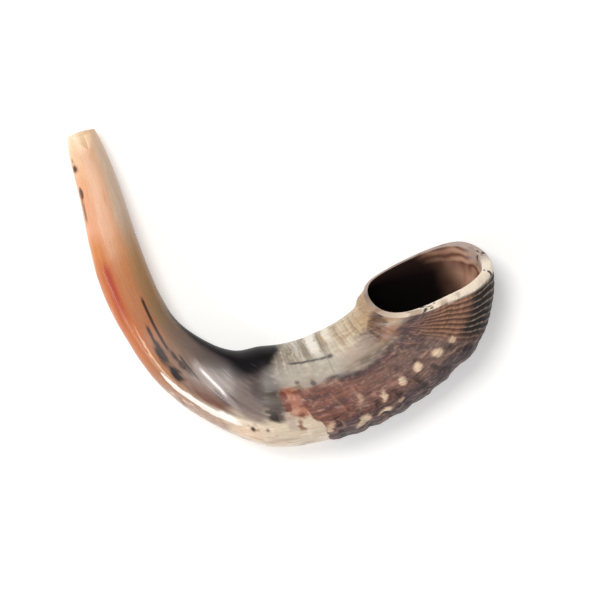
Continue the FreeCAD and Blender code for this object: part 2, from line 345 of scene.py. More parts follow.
# The grain in mm, as (length, width). Real fibres are about 0.35 mm wide, and drawn wider so that they show.
FIBRE, FLAKE = (14, 0.6), (5, 1.3)
SPECK_SIZE, FIBRE_RELIEF = 0.9, 0.10
WAXED_SHINE, DULL_SHINE = 0.36, 0.05
KERATIN_IOR, WAX_ROUGHNESS = 1.55, 0.12


def horn_material(name, gloss, scurf, coat):
    """Keratin that grew in lengthwise fibres. Where it is raw, scurf and weather roughen and mottle it, and
    inside the hollow and where it is scorched it is dull.

    gloss is the roughness of the polish, scurf the height of the raw skin in mm, and coat the wax on it."""
    material = bpy.data.materials.new(name)
    material.use_nodes = True
    link = material.node_tree.links.new
    shader = material.node_tree.nodes["Principled BSDF"]
    tint, raw, dull, straight = (
        node(material, "ShaderNodeAttribute", attribute_name=label)
        for label in ("tint", "raw", "dull", "unbent")
    )
    fine_scale, flake_scale = ((1 / length, 1 / width, 1 / width) for length, width in (FIBRE, FLAKE))
    stretch = node(material, "ShaderNodeMapping", [(0, straight, "Vector")], scale=fine_scale)
    drag = node(material, "ShaderNodeMapping", [(0, straight, "Vector")], scale=flake_scale)
    fibre = node(material, "ShaderNodeTexNoise", [(0, stretch, "Vector")], detail=4.0, scale=1.0)
    speck = node(material, "ShaderNodeTexNoise", [(0, straight, "Vector")], scale=1 / SPECK_SIZE, detail=3.0)
    crust = node(material, "ShaderNodeTexNoise", [(0, drag, "Vector")], scale=1.0, detail=6.0, roughness=0.7)

    streaks = node(material, "ShaderNodeMapRange", [(0, fibre, "Fac")], to_min=0.78, to_max=1.20)
    dots = node(material, "ShaderNodeMapRange", [(0, speck, "Fac")], to_min=0.88, to_max=1.12)
    grain = node(
        material, "ShaderNodeMath", [(0, streaks, "Result"), (1, dots, "Result")], operation="MULTIPLY"
    )
    weather = node(
        material, "ShaderNodeMapRange", [(0, crust, "Fac")],
        from_min=0.3, from_max=0.7, to_min=0.5, to_max=1.4,
    )
    shade = node(material, "ShaderNodeMix", [(0, raw, "Fac"), (2, grain, "Value"), (3, weather, "Result")])
    colour = node(
        material, "ShaderNodeVectorMath", [(0, tint, "Color"), (1, shade, "Result")], operation="MULTIPLY"
    )
    link(colour.outputs["Vector"], shader.inputs["Base Color"])

    wipe = node(material, "ShaderNodeMapRange", [(0, speck, "Fac")], to_min=gloss - 0.06, to_max=gloss + 0.1)
    matt = node(material, "ShaderNodeMapRange", [(0, crust, "Fac")], to_min=0.45, to_max=0.8)
    skin = node(material, "ShaderNodeMix", [(0, raw, "Fac"), (2, wipe, "Result"), (3, matt, "Result")])
    link(skin.outputs["Result"], shader.inputs["Roughness"])
    shine = node(
        material, "ShaderNodeMapRange", [(0, dull, "Fac")], to_min=WAXED_SHINE, to_max=DULL_SHINE
    )
    link(shine.outputs["Result"], shader.inputs["Specular IOR Level"])
    wax = node(material, "ShaderNodeMapRange", [(0, dull, "Fac")], to_min=coat, to_max=0.0)
    link(wax.outputs["Result"], shader.inputs["Coat Weight"])

    fine = node(material, "ShaderNodeMapRange", [(0, fibre, "Fac")], to_max=FIBRE_RELIEF)
    deep = node(material, "ShaderNodeMapRange", [(0, crust, "Fac")], to_max=scurf)
    height = node(material, "ShaderNodeMix", [(0, raw, "Fac"), (2, fine, "Result"), (3, deep, "Result")])
    bump = node(material, "ShaderNodeBump", [("Height", height, "Result")], distance=MM, strength=0.8)
    link(bump.outputs["Normal"], shader.inputs["Normal"])
    shader.inputs["IOR"].default_value = KERATIN_IOR
    shader.inputs["Coat Roughness"].default_value = WAX_ROUGHNESS
    return material


# Polished keratin: buffed with wax until it is clear and wet-looking, with its fibres just under the shine.
polished_horn = horn_material("polished_keratin", gloss=0.32, scurf=0.3, coat=0.12)

angles = np.linspace(0, 360, POINTS_AROUND, endpoint=False)[None, :]
HAIR = 0.02  # mm


def stations(start, end, count):
    """Distances of rings from start to end, with one more ring a hair inside each end, which keeps the
    shading straight right up to the joint."""
    share = np.linspace(0, 1, count)[:, None]
    hair = HAIR / abs(np.mean(end) - np.mean(start))
    share = np.concatenate([share[:1], share[:1] + hair, share[1:-1], share[-1:] - hair, share[-1:]])
    return start + (end - start) * share + 0 * angles


def bore_rings(distances, radii):
    """Rings round the drilled bore's straight line, at distances in from the lip's plane. The lip's ring
    and the bore's rings start at the same side, so that the skin between them doesn't twist."""
    heading = np.radians(DIRECTION[0][1])
    outward = np.array([np.sin(heading), -np.cos(heading), 0])
    outward -= bore_way * (outward @ bore_way)
    outward /= np.linalg.norm(outward)
    up = np.cross(-bore_way, outward)
    up *= np.sign(up[2])
    a = np.radians(angles)[..., None]
    out = np.asarray(radii)[:, None, None] * (outward * np.cos(a) + up * np.sin(a))
    return mouth - bore_way * np.asarray(distances)[:, None, None] + out


LIP_RINGS, MOUTHPIECE_RINGS, CUP_RINGS = 9, 90, 24
CUP_CURVE = 1.6  # the cup narrows by this power of the depth
CUP_EDGE = 0.35  # the cup's brink is broken back by this
CUP_PAINTED_SHADE, BORE_PAINTED_SHADE = 0.55, 0.3  # painted shade: the reamed cup and the drilled bore are drawn this bright beside the polish

lip_steps = LIP_ROUND * (1 - np.cos(np.linspace(0, np.pi / 2, LIP_RINGS)))
past_lip = stations(LIP_ROUND, MOUTHPIECE_LENGTH, MOUTHPIECE_RINGS)[1:]
along = np.concatenate([lip_steps[:, None] + 0 * angles, past_lip])
worn = polish_relief(along, angles) * ramp(along, 0, 3)
skin = outside(along, angles, worn - edge_shrink(along, LIP_ROUND))
cup_share = np.linspace(0, 1, CUP_RINGS)
cup_depths = CUP_DEPTH * cup_share
cup_radii = BORE_DIAMETER / 2 + (CUP_DIAMETER - BORE_DIAMETER) / 2 * (1 - cup_share**CUP_CURVE)
inside_depths = np.concatenate([[MOUTHPIECE_LENGTH, 15], cup_depths[::-1], [0]])
inside_radii = np.concatenate([[BORE_DIAMETER / 2] * 2, cup_radii[::-1], [CUP_DIAMETER / 2 + CUP_EDGE]])
inner = bore_rings(inside_depths, inside_radii)
rows = np.concatenate([skin, inner])
inner_along = inside_depths[:, None] + 0 * angles
# The cup gets painted shade: the polish's colours, darkened.
tint = np.concatenate([polished_tint(along, angles), CUP_PAINTED_SHADE * polished_tint(inner_along, angles)])

# Two brown scars on the outer side, where side veins of the horn's core came near the surface.
TIP_SCARS = ((20, 33, 2.6, 13, 1.0), (15, 32, 1.8, 6, 0.4), (36, 35, 4.0, 9, 0.9), (46, 31, 8.0, 6, 0.6))
SCAR_BROWN = "#45200f"


def scars(paint, along, angle, marks, colour):
    """Soft-edged ovals of a colour: (distance, angle, half length in mm, half height in degrees, depth)."""
    spot = unbent(along, angle)
    wobble = 0.25 * noise(spot, (4, 2.5, 2.5), 21) + 0.3 * noise(spot, (3, 0.8, 0.8), 22)
    for middle, turn, reach, spread, depth in marks:
        away = np.hypot((along - middle) / reach, ((angle - turn + 180) % 360 - 180) / spread) + wobble
        paint = lay(paint, "#8a4f30", 0.6 * depth * ramp(away, 1.6, 0.9))
        paint = lay(paint, colour, depth * ramp(away, 1.15, 0.6))
    return paint


tint[: len(along)] = scars(tint[: len(along)], along, angles, TIP_SCARS, SCAR_BROWN)
spots = unbent(np.concatenate([along, inner_along]), angles)
dull = np.concatenate([0 * along, 1 + 0 * inner_along])
mouthpiece = sleeve("mouth_end", rows, tint, 0 * dull, dull, spots, [len(along) - 1, len(rows) - 1])
fit(mouthpiece, "mouthpiece", polished_horn)

# ---- Stem -------------------------------------------------------------------------------------------------
# The solid tip of the horn, heated and straightened, then drilled from the mouth until the bit breaks into
# the natural hollow. Its outside is scraped and polished to amber.

STEM_LENGTH = 80.0
STEM_RINGS, BORE_RINGS = 170, 12
HOLLOW_START = MOUTHPIECE_LENGTH + STEM_LENGTH

along = stations(MOUTHPIECE_LENGTH, HOLLOW_START, STEM_RINGS)
skin = outside(along, angles, polish_relief(along, angles))
bore_end = bore["dims"]["length_mm"] + CUP_DEPTH
inside_depths = np.linspace(bore_end, MOUTHPIECE_LENGTH, BORE_RINGS)
inner = bore_rings(inside_depths, np.full(BORE_RINGS, BORE_DIAMETER / 2))
inner_along = inside_depths[:, None] + 0 * angles
tint = scars(polished_tint(along, angles), along, angles, TIP_SCARS, SCAR_BROWN)
rows = np.concatenate([skin, inner])
# The bore gets painted shade: the polish's colours, darkened.
tint = np.concatenate([tint, BORE_PAINTED_SHADE * polished_tint(inner_along, angles)])
spots = unbent(np.concatenate([along, inner_along]), angles)
dull = np.concatenate([0 * along, 1 + 0 * inner_along])
stem = sleeve("straight_stem", rows, tint, 0 * dull, dull, spots, [len(along) - 1, len(rows) - 1])
fit(stem, "stem", polished_horn)

# ---- Horn wall --------------------------------------------------------------------------------------------
# The dense inner layer round the hollow that the bony core left. Along the bend the outer layer has been
# rasped off and this one is polished; towards the bell it runs on under the outer layer.

RIND_LENGTH = 85.0
LAST_GROWTH_LENGTH = 20.0
RIM_LENGTH = 6.0
RIM_START = LENGTH - RIM_LENGTH
GROWTH_START = RIM_START - LAST_GROWTH_LENGTH
RIND_START = GROWTH_START - RIND_LENGTH
RIND_THICKNESS, RIND_FEATHER = 1.1, 30.0
BORE_RELIEF = 0.4
WALL_OUTER, WALL_INNER, WALL_TOP, WALL_UNDER = 6.5, 2.6, 3.8, 2.8
HOLLOW_GROWTH = (
    (0, 0), (0.15, 0.12), (0.30, 0.29), (0.45, 0.51), (0.60, 0.68), (0.72, 0.77), (0.82, 0.83),
    (0.90, 0.92), (1.1, 1.08),
)
HIDDEN_UNDER = 6.0  # the wall is drawn finely until this far under the outer layer
WALL_RINGS, COVERED_RINGS, HOLLOW_RINGS = 250, 36, 60

SCORCH_DULLNESS = 0.8

# The outer layer starts with a step outside the second of these angles. Inside the first it wears thin, over
# this many mm.
STEP_FADE, WORN_FEATHER = (100, 91), 12
# Where the rasp stopped, as (angle, distance). Its edge is ragged, by noise round a circle of that radius.
RASP_STOP = ((0, 236), (50, 235), (72, 231), (92, 232), (180, 233))
RAGGED_RADIUS = 30


def rasp_stop(angle):
    """Distance at which the outer layer starts, ragged by a mm or two."""
    a = np.radians(angle)
    spot = (0 * angle, RAGGED_RADIUS * np.cos(a), RAGGED_RADIUS * np.sin(a))
    return law(RASP_STOP, folded(angle)) + 1.6 * noise(spot, (9, 5, 5), 31) + 0.8 * noise(spot, (9, 2, 2), 32)


def wall_offset(along, angle):
    """The wall keeps the horn's outline until the bend, then sinks by the outer layer's thickness: before
    the layer starts where that ends in a step, and under it where the layer wears thin to nothing."""
    stop = rasp_stop(angle)
    step = ramp(folded(angle), *STEP_FADE)
    return -RIND_THICKNESS * ramp(along, stop - RIND_FEATHER * step, stop + WORN_FEATHER * (1 - step))


def hollow_points(along, angle):
    """The natural hollow: round at its deep end, then like the outline inside the bell's walls."""
    start = BORE_DIAMETER / 2 + BORE_RELIEF
    width, depth = half_sizes(np.array(LENGTH))
    reach = (along - HOLLOW_START) / (LENGTH - HOLLOW_START)
    grown = law(HOLLOW_GROWTH, reach)
    half_width = start + grown * (width - (WALL_OUTER + WALL_INNER) / 2 - start)
    half_depth = start + grown * (depth - (WALL_TOP + WALL_UNDER) / 2 - start)
    a = np.radians(angle)
    ripe = ramp(reach * 3, 0, 1)
    u, v = section(angle, along / LENGTH)
    u, v = np.cos(a) + ripe * (u - np.cos(a)), np.sin(a) + ripe * (v - np.sin(a))
    inward = grown * (WALL_OUTER - WALL_INNER) / 2
    downward = grown * (WALL_TOP - WALL_UNDER) / 2
    return place(along, half_width * u - inward, half_depth * v - downward)


# Painted shade: the hollow is drawn nearly black deep down, where no light reaches.
LINING_RUN = ((100, "#060505"), (300, "#0a0808"), (330, "#100b0b"), (341, "#2b1c19"))
GROWTH_LINE = 2.9  # mm from one growth line inside the bell to the next


def lining_tint(along, angle):
    """Inside of the hollow: nearly black deep down, which is painted shade, red-brown with growth lines by
    the outer lip.
    """
    spot = unbent(along, angle)
    lines = 0.5 + 0.5 * np.cos(2 * np.pi * (along + 1.2 * noise(spot, (6, 6, 6), 41)) / GROWTH_LINE)
    paint = colour_run(LINING_RUN, along)
    a = folded(angle) + 9 * noise(spot, (9, 9, 9), 42) - 34 * ramp(along, 318, 341)
    glow = ramp(a, 66, 16) * ramp(along, 264, 308)
    paint = lay(paint, "#9d6b56", 0.95 * glow)
    paint = lay(paint, "#cda68e", 0.65 * glow * lines * ramp(along, 290, 325))
    return lay(paint, "#2b1712", 0.7 * glow * (1 - lines) ** 3)


def stroke(along, angle, points, half_width):
    """Mask of a line through (distance, angle) points, in mm across, thin at both ends."""
    middles, turns = np.array(points, float).T
    line = np.interp(along, middles, turns)
    round_mm = half_sizes(along)[0] * np.radians(angle - line)
    ends = np.clip((along - middles[0]) / 4, 0, 1) * np.clip((middles[-1] - along) / 4, 0, 1)
    return ramp(np.abs(round_mm), half_width * 1.5, half_width * 0.6) * ends


def blot(s, a, middle, turn, reach, spread, lean=0.0):
    """Mask of an oval stain round (middle, turn), whose long axis leans by degrees for each mm along."""
    return ramp(np.hypot((s - middle) / reach, (a - turn - lean * (s - middle)) / spread), 1.15, 0.6)


# Marks on the top of the bend. Cracks follow the fibres, bruises are dark and frayed along them.
CRACKS = (
    (((105, 107), (120, 103), (134, 97), (145, 91)), 0.75),
    (((148, 100), (160, 92), (170, 84)), 0.5),
    (((122, 90), (132, 84), (141, 79)), 0.45),
    (((228, 124.5), (245, 121), (261, 117.5)), 0.75),
)
BRUISES = (
    (141, 78, 6.5, 6.0, 0.95), (137, 83, 8.0, 3.0, 0.8), (148, 92, 4.0, 3.0, 0.8),
    (154.5, 89, 2.6, 4.5, 0.75), (155, 71.5, 5.2, 6.5, 1.0), (160, 88, 3.5, 3.0, 0.5),
    (130, 84, 7.0, 2.2, 0.6),
)
DOTS = (
    (230.5, 102, 1.5, 2.0, 1.0), (240, 98, 1.9, 3.6, 1.0), (260, 117.5, 1.8, 2.2, 1.0),
    (200.5, 50, 1.1, 4.0, 0.9), (207.5, 53, 0.9, 3.0, 0.6), (236, 18, 1.4, 2.5, 0.8),
    (222, 10, 1.6, 3.0, 0.5),
)
# Slanting bands where the rasp cut through one season's growth into the next, as (distance at 90 degrees,
# half width in mm, lowest and highest angle, lean in mm for each degree, colour, depth).
CUT_BANDS = (
    (213.0, 4.6, 66, 106, -0.05, "#51453d", 0.95), (210.5, 1.7, 65, 75, -0.09, "#2b1a18", 0.9),
    (217.5, 2.2, 52, 74, -0.09, "#bfab9e", 0.8), (225.0, 4.6, 67, 98, -0.13, "#a5664e", 0.9),
    (219.8, 1.9, 71, 98, -0.13, "#76382a", 0.9), (230.5, 1.3, 58, 95, -0.10, "#6c382c", 0.9),
    (221.2, 1.1, 50, 65, -0.10, "#83523f", 0.85), (226.5, 0.8, 66, 70, 0.0, "#8a5a46", 0.7),
)
# Growth bands ringing the inner side, the same way.
PEARL_BANDS = (
    (239.5, 1.6, 130, 172, 0.0, "#ddd7cc", 0.6), (253.5, 3.6, 124, 186, 0.0, "#f4ede2", 0.9),
    (262.0, 1.8, 136, 170, 0.0, "#b28f68", 0.6), (267.0, 2.6, 132, 186, 0.0, "#f0e5d4", 0.8),
    (256.0, 0.6, 100, 186, 0.06, "#6c7062", 0.6), (274.0, 1.5, 116, 165, 0.0, "#a3805e", 0.5),
    (281.0, 2.2, 118, 170, 0.0, "#dccbb0", 0.5), (290.0, 1.4, 124, 165, 0.0, "#94806a", 0.5),
)


# Brown stains on the top of the bend: (distance, angle, half length, half height, lean), colour, depth.
BEND_STAINS = (
    ((176, 72, 15, 12, -0.1), "#6e4434", 0.92), ((186, 79, 9, 7, -0.6), "#54403e", 0.9),
    ((199, 79, 10, 19, -0.9), "#73625e", 0.7), ((207, 97, 7.5, 11, 0), "#4c3b35", 0.85),
)
# Painted highlight across them, a fine white streak of reflected light in a wide grey haze: (distance, angle)
#  points, half width in mm, colour, depth.
HIGHLIGHT_STREAKS = (
    (((158, 107), (170, 98), (181, 88), (196, 66)), 2.0, "#a3928f", 0.6),
    (((164, 102), (172, 96), (181, 88), (187, 80)), 0.8, "#f3ecea", 0.85),
)
DARK_PATCH = ((270, 116), (300, 118), (312, 122), (325, 131), (341, 148))  # beside the bell, its middle


def lay_bands(paint, s, a, ragged, soft, bands):
    """Lays growth bands over the paint: each is all the points near its leaning line, between its angles,
    whose edges are moved by the ragged noise and whose ends fade over a soft number of degrees."""
    for middle, half, low, high, lean, colour, depth in bands:
        near = np.abs(s - middle - lean * (a - 90)) / half + ragged
        ends = ramp(a, low - soft, low + soft) * ramp(a, high + soft, high - soft)
        paint = lay(paint, colour, depth * ramp(near, 1.4, 0.6) * ends)
    return paint


def horn_tint(along, angle):
    """All the bare horn's colours: the polished runs, then the bend's own marks, with painted highlights
    along the keel and across the top. Fibre streaks slant across the grey, rust and cream show where the
    rasp went deep, and growth bands ring the inner side."""
    paint = polished_tint(along, angle)
    spot = unbent(along, angle)
    a = folded(angle) + 3.0 * noise(spot, (18, 6, 6), 51) + 1.2 * noise(spot, (2.5, 1.2, 1.2), 65)
    s = along + 1.2 * noise(spot, (8, 4, 4), 52)
    slant = (spot[0] + 0.4 * spot[1], spot[1] - 0.4 * spot[0], spot[2])
    streaks = noise(slant, (30, 2.0, 16), 53) + 0.6 * noise(slant, (14, 0.9, 16), 54)
    flecks = noise(spot, (3.6, 1.8, 1.8), 55) + 0.5 * noise(spot, (1.6, 0.9, 0.9), 56)
    scorched = smear(s, a)

    grey = ramp(s, 146, 170) * ramp(s, 222, 208) * ramp(a, 56, 70) * ramp(a, 124, 108)
    paint = lay(paint, "#9c8f8a", 0.6 * grey * ramp(streaks, 0.25, 1.1))
    paint = lay(paint, "#493d39", 0.75 * grey * ramp(streaks, -0.1, -0.9))
    for oval, colour, depth in BEND_STAINS:
        paint = lay(paint, colour, depth * blot(s, a, *oval))
    # Painted highlight: the streaks of reflected light.
    for points, half_width, colour, depth in HIGHLIGHT_STREAKS:
        paint = lay(paint, colour, depth * stroke(along, angle, points, half_width))
    # Painted highlight: the thin pale start of the keel's line of light.
    paint = lay(paint, "#f3cbaa", 0.7 * blot(s, a, 138, 61, 20, 2.2, -0.1))

    edge = ramp(s, 146, 160) * ramp(a, 46, 38)
    paint = lay(paint, "#b0907f", 0.8 * edge * ramp(s, 198, 186))
    paint = lay(paint, "#7f5548", 0.75 * edge * ramp(s, 196, 184) * ramp(flecks, 0.2, 0.8))
    paint = lay(paint, "#e6d0bc", 0.8 * edge * ramp(flecks, -0.25, -0.8))
    bottom = ramp(s, 186, 196) * ramp(a, 64, 54)
    paint = lay(paint, "#dcc7b0", 0.8 * bottom)
    paint = lay(paint, "#f0e0cb", 0.75 * bottom * ramp(flecks, 0.1, 0.7))
    paint = lay(paint, "#9a7058", 0.7 * bottom * ramp(flecks, -0.6, -1.0) * ramp(s, 226, 206))
    paint = lay(paint, "#e8b488", 0.3 * bottom * blot(s, a, 196, 36, 11, 12))
    stained = ramp(noise(spot, (9, 2, 3), 57), 0.1, 0.6)
    paint = lay(paint, "#a08068", 0.55 * bottom * ramp(a, 44, 30) * stained)
    # Painted highlight: a white band along the keel on the outer side of the bend, frayed by the fibre
    # streaks, and a brighter spot at its end.
    paint = lay(paint, "#fbf4ee", 0.85 * ramp(streaks + 3 * blot(s, a, 174, 51.5, 29, 6.5, -0.05), 1.0, 1.9))
    paint = lay(paint, "#fffaf4", 0.8 * blot(s, a, 188, 55, 7, 6.5))

    pearl = ramp(s + 1.5 * flecks, 211, 230) * ramp(a, 97, 102) * (1 - scorched)
    paint = lay(paint, "#9a8e7c", 0.85 * pearl * ramp(s, 268, 256))
    paint = lay(paint, "#b9ab97", 0.6 * pearl * ramp(flecks, 0.0, 0.9) * ramp(s, 268, 256))
    paint = lay(paint, "#7b7163", 0.5 * pearl * ramp(flecks, -0.2, -0.9) * ramp(s, 300, 256))
    away = np.hypot((s - 210) / 10, (a - 102) / 12) + 0.35 * flecks
    paint = lay(paint, "#3f302c", 0.85 * ramp(away, 1.4, 0.3))
    paint = lay_bands(paint, s, a, 0.6 * flecks, 3, CUT_BANDS)
    rust = ramp(a, 64, 70) * ramp(a, 98, 92) * blot(s, a, 225, 82, 9, 22)
    paint = lay(paint, "#cf9a80", 0.8 * rust * ramp(flecks, 0.1, 0.8))
    paint = lay(paint, "#6d3527", 0.8 * rust * ramp(flecks, -0.15, -0.7))
    paint = lay(paint, "#4a2a22", 0.6 * ramp(streaks, 0.5, 1.1) * blot(s, a, 209, 84, 9, 26))
    rings = np.sin(2 * np.pi * s / 7.3 + 1.5 * flecks) + 0.7 * np.sin(2 * np.pi * s / 3.1 + flecks)
    paint = lay(paint, "#e8dfd2", 0.4 * pearl * ramp(rings, 0.3, 1.6) * ramp(a, 108, 128) * ramp(s, 306, 282))
    paint = lay(paint, "#8a7a68", 0.4 * pearl * ramp(rings, -0.3, -1.6) * ramp(a, 104, 128))
    paint = lay_bands(paint, s, a, 0.4 * flecks + scorched, 13, PEARL_BANDS)

    threads = noise(spot, (7, 1.0, 1.0), 60) + 0.7 * noise(spot, (2.4, 0.6, 0.6), 61)
    tan = ramp(s, 252, 272) * ramp(a, 92, 102)
    paint = lay(paint, "#8f7056", 0.5 * tan * ramp(threads, 0.1, 1.0))
    paint = lay(paint, "#d9c4a6", 0.45 * tan * ramp(threads, -0.2, -1.0))
    paint = lay(paint, "#8c725c", 0.6 * ramp(s, 256, 276) * ramp(a, 94, 100) * ramp(a, 124, 112))
    paint = lay(paint, "#96634c", 0.7 * blot(s, a, 313, 107, 16, 9))
    lines = noise((spot[0], spot[1] - 0.2 * spot[0], spot[2]), (14, 1.1, 1.2), 66) + 0.5 * threads
    patch = ramp(np.abs(a - law(DARK_PATCH, along)) / 10, 1.25, 0.6) * ramp(s, 276, 296)
    paint = lay(paint, "#6f4e3b", 0.85 * patch)
    paint = lay(paint, "#432d27", 0.9 * patch * ramp(lines, 0.0, 0.6))

    frayed = 0.45 * noise(spot, (6, 1.1, 1.1), 63) + 0.25 * noise(spot, (3, 0.6, 0.6), 64)
    for middle, turn, reach, spread, depth in BRUISES:
        away = frayed + np.hypot((along - middle) / reach, (angle - turn + 0.4 * (along - middle)) / spread)
        paint = lay(paint, "#5b3325", 0.6 * depth * ramp(away, 1.7, 1.0))
        paint = lay(paint, "#190b0b", depth * ramp(away, 1.15, 0.7))
    for points, half_width in CRACKS:
        paint = lay(paint, "#2c1814", 0.95 * stroke(along, angle, points, half_width))
    return scars(paint, along, angle, DOTS, "#1a0d10")


stop = rasp_stop(angles)
seen_end = stop + HIDDEN_UNDER
along = np.concatenate(
    [stations(HOLLOW_START, seen_end, WALL_RINGS), stations(seen_end, RIM_START, COVERED_RINGS)[1:]]
)
skin = outside(along, angles, wall_offset(along, angles) + polish_relief(along, angles))
inner_along = stations(RIM_START, HOLLOW_START, HOLLOW_RINGS)
rows = np.concatenate([skin, hollow_points(inner_along, angles)])
tint = np.concatenate([horn_tint(along, angles), lining_tint(inner_along, angles)])
dull = np.concatenate([SCORCH_DULLNESS * smear(along, folded(angles)), 1 + 0 * inner_along])
spots = unbent(np.concatenate([along, inner_along]), angles)
horn_wall = sleeve("dense_wall", rows, tint, 0 * dull, dull, spots, [len(along) - 1, len(rows) - 1])
fit(horn_wall, "horn_wall", polished_horn)

# ---- Rough rind -------------------------------------------------------------------------------------------
# The outer layer of the horn, left as it grew over the bell: one coarse rib for each season, knobs where the
# ribs cross the keel, and a dry, flaking skin. On the inner side the animal's neck wore it smooth.

RIB_HEIGHT, RIB_COUNT = 1.0, 7
WRINKLE_HEIGHT, WRINKLE_SPACING = 0.34, 2.5
RIND_RINGS, UNDER_RINGS = 290, 40
STEP_DROP, STEP_ROUND = 0.5, 1.0  # at the rasped step the skin is this much lower, and rounded over
LAYER_GAP = 0.05  # the layer's hidden side lies this far into the wall
# The edge of the worn side and the smoky line beside it, as (distance, angle).
WORN_SIDE = ((200, 95), (250, 96), (270, 92), (300, 97), (322, 106), (341, 113))
SMOKE_LINE = ((200, 97), (250, 95), (300, 97), (341, 112))
RAW_RUN = ((200, "#80503f"), (250, "#7c4f43"), (275, "#7b574c"), (310, "#796259"), (341, "#75605a"))

# Knobs where ribs cross the keel, as (distance, angle, half length in mm, half height in degrees, paleness).
KNOBS = (
    (253.5, 38, 4.6, 9.5, 1.0), (267, 39, 5.0, 4.5, 0.95), (277, 41, 2.6, 5, 0.55),
    (272, 60, 2.2, 6.5, 0.85), (286, 63, 2.8, 5, 0.95), (297.5, 65, 3.2, 4.5, 0.95), (310, 64, 3.0, 6, 1.0),
    (318.5, 61, 1.8, 5.5, 0.6), (237, 45, 2.4, 9, 0.6), (260, 68, 2.4, 5, 0.3),
)


def rawness(along, angle):
    """1 where the skin is as it grew, 0 where wear has polished it."""
    spot = unbent(along, angle)
    a = folded(angle) + 4.0 * noise(spot, (12, 4, 4), 61) + 2.5 * noise(spot, (5, 1.5, 1.5), 62)
    edge = law(WORN_SIDE, along)
    return ramp(a, edge + 4, edge - 4)


def knobs(along, angle):
    """Height of the knobs and their paleness, both from 0 to 1, each a rounded oval."""
    spot = unbent(along, angle)
    wobble = 0.4 * noise(spot, (3.4, 2, 2), 63) + 0.2 * noise(spot, (1.5, 0.9, 0.9), 64)
    height = pale = 0 * along * angle
    for middle, turn, reach, spread, depth in KNOBS:
        lean = along - middle - 0.22 * (angle - turn)
        away = np.hypot(lean / reach, ((angle - turn + 180) % 360 - 180) / spread) + wobble
        height = np.maximum(height, depth * ramp(away, 1.6, 0.1))
        pale = np.maximum(pale, depth * ramp(away, 1.1, 0.35))
    return height, pale


def rib_wave(along, angle):
    """Season ribs, 1 on a crest and 0 between, that wander by a mm or two."""
    spot = unbent(along, angle)
    wander = 1.6 * noise(spot, (16, 8, 8), 64) + 0.8 * noise(spot, (6, 4, 4), 65)
    crest = 0.5 - 0.5 * np.cos(2 * np.pi * (along - RIND_START + wander) / (RIND_LENGTH / RIB_COUNT))
    return crest**0.8


def crease_wave(along, angle):
    """Fine raised creases on the raw skin, 1 on a crease: the thin zero lines of slanting noise."""
    spot = unbent(along, angle)
    slant = (spot[0] - 0.5 * spot[1], spot[1] + 0.5 * spot[0], spot[2])
    return ramp(np.abs(noise(slant, (5, 9, 7), 69)), 0.16, 0.02) * ramp(noise(spot, (9, 9, 9), 70), -0.2, 0.2)


def raw_relief(along, angle):
    """Height in mm of the raw skin: ribs that are highest outside, knobs, lumps, creases and flakes."""
    spot = unbent(along, angle)
    outer = ramp(folded(angle), 95, 20)
    lumps = 0.45 * noise(spot, (6, 4, 4), 66) + 0.30 * noise(spot, (3.5, 1.8, 1.8), 67)
    lumps = lumps * (0.5 + 0.8 * outer) + 0.14 * noise(spot, (1.6, 0.9, 0.9), 68)
    ribs = RIB_HEIGHT * (0.3 + 0.7 * outer) * (rib_wave(along, angle) - 0.35)
    return ribs + lumps + 0.25 * crease_wave(along, angle) + knobs(along, angle)[0]


def wrinkles(along, angle):
    """Fine wavy growth lines of the last season, 1 on a crest and -1 in a groove."""
    spot = unbent(along, angle)
    wave = along + 0.7 * noise(spot, (8, 5, 5), 71) + 0.25 * np.sin(np.radians(angle * 9))
    return np.cos(2 * np.pi * wave / WRINKLE_SPACING)


def wrinkle_zone(along, angle):
    """Where those lines show: the last 25 mm, strongest on the outer side."""
    return ramp(along, 315, 324) * ramp(folded(angle), 104, 76)


def grown_relief(along, angle):
    """Height of the outer layer: raw skin, passing to fine wrinkles by the edge and to polish inside."""
    raw = rawness(along, angle)
    zone = wrinkle_zone(along, angle)
    rough = raw_relief(along, angle) * (1 - 0.8 * zone) + WRINKLE_HEIGHT * wrinkles(along, angle) * zone
    return raw * rough + (1 - raw) * polish_relief(along, angle)


